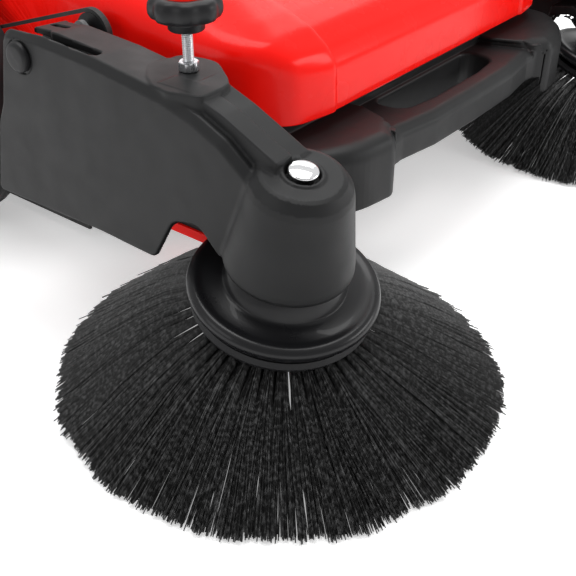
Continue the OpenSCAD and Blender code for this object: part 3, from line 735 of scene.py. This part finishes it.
def filaments(roots, starts, tips, width, segments=6, bow=0.0, taper=0.6):
    """Thin three-sided strands. Each leaves its root along a start vector and bends to its tip."""
    roots, starts, tips = (np.asarray(a, float) for a in (roots, starts, tips))
    n = len(roots)
    reach = np.linalg.norm(tips - roots, axis=1, keepdims=True)
    control1 = roots + starts * reach * 0.34
    pull = tips - roots
    control2 = tips - (pull / reach) * reach * 0.30 + np.array((0, 0, bow)) * reach
    s = np.linspace(0, 1, segments + 1)[None, :, None]
    line = ((1 - s) ** 3 * roots[:, None] + 3 * (1 - s) ** 2 * s * control1[:, None]
            + 3 * (1 - s) * s ** 2 * control2[:, None] + s ** 3 * tips[:, None])
    across = np.cross(pull, (0, 0, 1.0))
    across /= np.maximum(np.linalg.norm(across, axis=1, keepdims=True), 1e-6)
    up = np.cross(across, pull)
    up /= np.maximum(np.linalg.norm(up, axis=1, keepdims=True), 1e-6)
    size = width * (1 - (1 - taper) * s)
    corners = []
    for a in (0.0, 2.0944, 4.1888):
        offset = math.cos(a) * up[:, None] + math.sin(a) * across[:, None]
        corners.append(line + offset * size)
    verts = np.stack(corners, 2).reshape(-1, 3)
    base = (np.arange(n) * (segments + 1) * 3)[:, None]
    cell = []
    for k in range(segments):
        for c in range(3):
            d = (c + 1) % 3
            cell.append((k * 3 + c, k * 3 + d, (k + 1) * 3 + d, (k + 1) * 3 + c))
    quads = (base[:, :, None] + np.array(cell)[None]).reshape(-1, 4)
    caps = np.concatenate([base + np.array([[2, 1, 0]]), base + segments * 3 + np.array([[0, 1, 2]])])
    return verts, quads.tolist() + caps.tolist()


def level_out(angle, u, v):
    """Unit vector along the floor in the direction that an angle has round the leaning brush."""
    out = math.cos(angle) * u + math.sin(angle) * v
    return np.array((out[0], out[1], 0)) / np.hypot(out[0], out[1])


def disc_brush():
    """Filaments of the right-hand brush: a ring of tight tufts that fan out to the floor."""
    u, v, w = frame_of(BRUSH_AXIS)
    foot = BRUSH_FOOT
    centre = np.array((foot[0] - 2, foot[1] - 13, 0))              # middle of the fan on the floor
    tufts, strands, fan = 46, 92, 165.5
    pitch = 2 * math.pi / tufts
    roots, starts, tips = [], [], []
    for k in range(tufts):
        t = pitch * k
        tuft_turn, tuft_reach = rng.normal(0, 0.012), rng.normal(0, 1.6)
        for i in range(strands):
            across = rng.uniform(-1, 1)
            a, b, c = rng.normal(0, 1, 3)
            angle = t + across * 0.33 * pitch
            out = math.cos(angle) * u + math.sin(angle) * v
            side = np.cross(w, out)
            level = rng.uniform(-1, 1) * math.sqrt(1 - across * across)
            far = level_out(t + tuft_turn + across * 0.80 * pitch + 0.014 * a, u, v)
            tip = centre + far * (fan - 3 * max(0.0, far[0]) + tuft_reach + 1.5 * b - abs(1.6 * c))
            tip[2] = 0.6 + 13.0 * max(0.0, far[1]) ** 1.5 + (level + 1) * 2.4 + abs(0.8 * a)
            droop = 0.28 - 0.05 * level + 0.9 * max(0.0, out[2])
            roots.append(foot + (71.0 + 2.3 * level) * w + (61.5 + 1.2 * abs(level)) * out)
            starts.append(out * 0.94 - w * droop + side * across * 0.03)
            tips.append(tip)
            if i % 4 == 0:                                         # inner row, in the gaps between tufts
                gap = t + pitch / 2 + across * 0.30 * pitch
                near = math.cos(gap) * u + math.sin(gap) * v
                far = level_out(gap + tuft_turn + across * 0.35 * pitch, u, v)
                low = centre + far * (fan - 6 - 3 * max(0.0, far[0]) + 1.8 * b)
                low[2] = 0.7 + 12.0 * max(0.0, far[1]) ** 1.5 + abs(0.8 * a)
                roots.append(foot + 69.9 * w + 54 * near)
                starts.append(near * 0.94 - w * (0.30 + 0.9 * max(0.0, near[2])))
                tips.append(low)
    return filaments(roots, starts, tips, 0.62, segments=5, bow=0.015, taper=0.75)


def roller_brush():
    """Twelve slightly twisted rows of tufts on the roller."""
    lo, hi = box_mm("roller_bristles")
    core_lo, core_hi = box_mm("roller_core")
    cy, cz = (lo[1] + hi[1]) / 2, (lo[2] + hi[2]) / 2
    r0, r1 = (core_hi[2] - core_lo[2]) / 2, (hi[2] - lo[2]) / 2
    roots, starts, tips = [], [], []
    for row in range(12):
        for k in range(64):
            x = lo[0] + 6 + (hi[0] - lo[0] - 12) * k / 63
            t = 2 * math.pi * row / 12 + 1.1 * k / 63
            for _ in range(9):
                a, b, c = rng.normal(0, 1, 3)
                angle = t + 0.045 * a
                far = np.array((0, math.cos(angle), math.sin(angle)))
                near = np.array((0, math.cos(t + 0.02 * a), math.sin(t + 0.02 * a)))
                centre = np.array((x, cy, cz))
                roots.append(centre + near * (r0 - 1) + np.array((1.2 * b, 0, 0)))
                tips.append(centre + far * (r1 - 1.0 - abs(c)) + np.array((2.6 * b + c, 0, 0)))
                starts.append(near)
    return filaments(roots, starts, tips, 0.5, segments=2)


# ---------------------------------------------------------------- wheels

def tyre_mesh(node):
    """Tyre with rounded shoulders and a block tread."""
    lo, hi = box_mm(node)
    cy, cz, r1 = (lo[1] + hi[1]) / 2, (lo[2] + hi[2]) / 2, (hi[2] - lo[2]) / 2 - 0.2
    cx, w = (lo[0] + hi[0]) / 2, (hi[0] - lo[0]) / 2 - 0.1
    section = rounded([(84.3, -w + 3, 1), (94, -w, 5), (r1 - 14, -w, 8), (r1 - 1, -w + 7, 7), (r1, 0, 0),
                       (r1 - 1, w - 7, 7), (r1 - 14, w, 8), (94, w, 5), (84.3, w - 3, 1)], 4)
    fine = []
    for p, q in zip(section, np.roll(section, -1, axis=0)):
        n = max(1, int(np.linalg.norm(q - p) / 1.8))
        fine += [p + (q - p) * i / n for i in range(n)]
    count, blocks = 264, 44
    verts = []
    for k in range(count):
        t = 2 * math.pi * k / count
        for r, x in fine:
            skew = (t * blocks / (2 * math.pi) + 0.35 * (abs(x) / w)) % 1
            tread = np.clip((r - (r1 - 5)) / 3, 0, 1)
            groove = 1.0 if (skew < 0.17 and abs(x) > 5) or 3.4 < abs(x) < 5.6 else 0.0
            rr = r - 2.2 * groove * tread
            verts.append((cx + x, cy + rr * math.cos(t), cz + rr * math.sin(t)))
    return verts, grid_faces(count, len(fine), close_rows=True)


# ---------------------------------------------------------------- build every piece

def adjuster(side):
    """Height adjuster of one brush: threaded screw, lock nut, star knob and its red disc."""
    lo, hi = box_mm(f"adjuster_screw_{side}")
    x, y = (lo[0] + hi[0]) / 2, (lo[1] + hi[1]) / 2
    verts, faces = threaded_rod((x, y, lo[2]), hi[2] - lo[2], 4.0)
    add_piece(f"adjuster_thread_{side}", verts, faces, ZINC, f"adjuster_screw_{side}")

    lo, hi = box_mm(f"lock_nut_{side}")
    verts, faces = hex_nut((x, y, lo[2]), 13.0, hi[2] - lo[2], 4.1)
    auto_smooth(add_piece(f"hex_nut_{side}", verts, faces, ZINC, f"lock_nut_{side}"), 25)

    lo, hi = box_mm(f"adjuster_knob_{side}")
    collar = 7.0
    verts, faces = star_knob((x, y, lo[2]), 25.0, hi[2] - lo[2] - collar, 12.4, collar, 8, 1.8, 4.1)
    add_piece(f"star_knob_{side}", verts, faces, KNOB, f"adjuster_knob_{side}")

    lo, hi = box_mm(f"knob_insert_{side}")
    top = hi[2] - lo[2]
    disc = [(0.01, 0), (13.9, 0), (13.9, top - 0.9), (13.2, top - 0.2), (12, top), (6, top + 0.1),
            (0.01, top)]
    verts, faces = lathe(disc, (x, y, lo[2]), (0, 0, 1))
    add_piece(f"knob_disc_{side}", verts, faces, RED, f"knob_insert_{side}")


def hub_and_cap(side, sx):
    """Brush hub with its rolled rim, and the chromed cap on the spindle's end."""
    across = (-sx, 1, 1)
    axis, foot = BRUSH_AXIS * across, BRUSH_FOOT * across
    hub = ([(6.05, 80.1), (50, 80.1), (60, 82.2)] + arc(63.2, 89.8, 5.8, -62, 112, 16)
           + [(59.4, 94.7), (57, 94.6), (52, 95.3), (47, 96.4), (44.6, 97.0), (44.1, 97.3), (43.7, 98.2),
              (39.8, 109.8), (39, 110.7), (37.5, 111), (6.05, 111)])
    verts, faces = lathe(hub, foot, axis, 160)
    auto_smooth(add_piece(f"brush_hub_rim_{side}", verts, faces, HUB, f"brush_hub_{side}"), 50)
    cap = ([(0.01, 185.4), (9.3, 185.4), (9.5, 190.4)] + arc(8.9, 191.6, 1.3, -60, 75, 7)
           + [(6, 193.6), (3, 194.0), (0.01, 194.1)])
    verts, faces = lathe(cap, foot, axis, 72)
    auto_smooth(add_piece(f"chrome_cap_{side}", verts, faces, CHROME, f"spindle_cap_{side}"), 40)


def build_sides():
    """Everything that the machine has once on the right and once on the left."""
    arm_verts, arm_faces, arm_field = arm_mesh()
    brush_verts, brush_faces = disc_brush()
    for side, sx in SIDES:
        flip = sx > 0
        shell = add_piece(f"side_arm_shell_{side}", arm_verts, arm_faces, GREY, f"side_arm_{side}",
                          mirror=flip)
        field_normals(shell, arm_field, arm_verts, flip)
        add_piece(f"bristle_strands_{side}", brush_verts, brush_faces, BRISTLE, f"bristles_{side}",
                  smooth=False, mirror=flip)
        adjuster(side)
        hub_and_cap(side, sx)
        verts, faces = tyre_mesh(f"tyre_{side}")
        auto_smooth(add_piece(f"tyre_tread_{side}", verts, faces, TYRE, f"tyre_{side}"), 40)


def pivot_bolts():
    """The domed bolts that the arms tilt on, both in one piece."""
    head = ([(0.01, 5.2), (5, 5.1)] + [(r, -h) for r, h in arc(8.0, -1.6, 3.4, -90, 0, 6)]
            + [(11.4, 0.1), (6, 0.1), (6, -5.9), (4, -5.9), (4, -10), (0.01, -10)])
    verts, faces = [], []
    for _, sx in SIDES:
        v, f = lathe(head, (sx * ARM_OUT, PIVOT[1], PIVOT[2]), (sx, 0, 0), 64)
        faces += [tuple(i + len(verts) for i in quad) for quad in f]
        verts += v
    auto_smooth(add_piece("pivot_bolt_heads", verts, faces, BLACK, "arm_pivot_bolts"), 50)


def build_body():
    """Everything that sits across the middle of the machine."""
    hood_piece()
    verts, faces, field = nose_mesh()
    field_normals(add_piece("nose_shell", verts, faces, GREY, "front_nose"), field, verts)
    verts, faces = roller_brush()
    add_piece("roller_strands", verts, faces, BRISTLE, "roller_bristles", smooth=False)
    pivot_bolts()


def foam_grip():
    """Soft grip with shallow finger rings and rounded ends."""
    lo, hi = box_mm("foam_grip")
    c = (lo + hi) / 2
    half, r = (hi[0] - lo[0]) / 2, (hi[2] - lo[2]) / 2 - 0.2
    outer = [(r - 3, -half), (r - 1, -half + 0.8), (r, -half + 3)]
    for k in range(1, 120):
        x = -half + 6 + (2 * half - 12) * k / 120
        outer.append((r - 0.5 * (0.5 + 0.5 * math.cos(2 * math.pi * k / 6)), x))
    outer += [(r, half - 3), (r - 1, half - 0.8), (r - 3, half)]
    verts, faces = lathe(outer + [(14.05, half), (14.05, -half)], c, (1, 0, 0), 64)
    add_piece("grip_sleeve", verts, faces, FOAM, "foam_grip")


def finish_cad_nodes():
    """CAD nodes that stay in view get their finish and softened edges."""
    edges = {"chassis": 1.0, "hopper": 1.2, "hopper_handle": 3.0, "mudguards": 1.0, "hood_screws": 0.5,
             "handle_knob_right": 1.5, "handle_knob_left": 1.5}
    small = ("rim_right", "rim_left", "handle_brackets", "arm_pivot_brackets", "caster_wheel_right",
             "caster_wheel_left", "side_lips", "brush_plate_right", "brush_plate_left")
    edges.update({name: 0.8 for name in small})
    for name, obj in NODES.items():
        look = SLOT_LOOK[NODE_SLOT[name]]
        for slot in obj.material_slots:
            slot.material = look
        if not obj.material_slots:
            obj.data.materials.append(look)
        if name in edges:
            bevel(obj, edges[name])


def stage_and_light():
    """Pale floor, surroundings that are brightest behind the machine, soft lamps and the camera."""
    floor_mat = Look("studio_floor", (0.97, 0.97, 0.97), 0.8)
    floor_mat.tint(floor_mat.span(floor_mat.noise(3.0), 0.3, 0.7, 0.0, 0.2), (0.94, 0.94, 0.94))
    floor_mat.bsdf.inputs["Emission Color"].default_value = (1, 1, 1, 1)
    floor_mat.bsdf.inputs["Emission Strength"].default_value = 0.42
    mesh = bpy.data.meshes.new("studio_floor")
    size = 12.0
    corners = [(-size, -size, 0), (size, -size, 0), (size, size, 0), (-size, size, 0)]
    mesh.from_pydata(corners, [], [(0, 1, 2, 3)])
    mesh.materials.append(floor_mat.mat)
    floor = bpy.data.objects.new("studio_floor", mesh)
    bpy.context.scene.collection.objects.link(floor)

    world = bpy.data.worlds.new("studio")
    world.use_nodes = True
    nodes, links = world.node_tree.nodes, world.node_tree.links
    place = nodes.new("ShaderNodeTexCoord")
    toward = nodes.new("ShaderNodeVectorMath")
    toward.operation = "DOT_PRODUCT"
    toward.inputs[1].default_value = (0.656, 0.514, 0.552)         # where the camera looks, but upwards
    ramp = nodes.new("ShaderNodeValToRGB")
    links.new(place.outputs["Generated"], toward.inputs[0])
    links.new(toward.outputs["Value"], ramp.inputs["Fac"])
    stops = ramp.color_ramp.elements
    stops[0].color = (0.55, 0.55, 0.55, 1)
    stops.new(0.45).color = (1, 1, 1, 1)
    stops.new(0.72).color = (0.90, 0.90, 0.90, 1)
    links.new(ramp.outputs["Color"], nodes["Background"].inputs["Color"])
    nodes["Background"].inputs["Strength"].default_value = 0.8
    bpy.context.scene.world = world

    def area(name, place, target, size, power):
        lamp = bpy.data.lights.new(name, "AREA")
        lamp.shape = "RECTANGLE"
        lamp.size, lamp.size_y = size
        lamp.energy = power
        obj = bpy.data.objects.new(name, lamp)
        obj.location = place
        obj.rotation_euler = (Vector(target) - Vector(place)).to_track_quat("-Z", "Y").to_euler()
        bpy.context.scene.collection.objects.link(obj)

    target = (-0.1, -0.35, 0.1)
    area("top_softbox", (0.3, -0.1, 2.4), target, (1.8, 1.2), 34)
    area("back_softbox", (1.9, 0.9, 1.7), target, (1.6, 1.0), 9)
    area("left_softbox", (-2.2, 0.4, 1.2), target, (1.2, 1.2), 7)
    area("front_strip", (1.2, -2.2, 1.0), target, (1.4, 0.6), 14)

    camera = bpy.data.cameras.new("camera")
    camera.sensor_width = 36.0
    camera.lens = 56.125
    camera.clip_start = 0.02
    obj = bpy.data.objects.new("camera", camera)
    azimuth, pitch = math.radians(-51.90), math.radians(33.54)
    level = math.cos(pitch)
    ahead = Vector((-math.sin(azimuth) * level, math.cos(azimuth) * level, -math.sin(pitch)))
    obj.location = (-0.7158, -0.7658, 0.4350)
    obj.rotation_euler = ahead.to_track_quat("-Z", "Y").to_euler()
    bpy.context.scene.collection.objects.link(obj)
    bpy.context.scene.camera = obj
    bpy.context.scene.view_settings.view_transform = "Standard"


finish_cad_nodes()
build_body()
build_sides()
foam_grip()
stage_and_light()
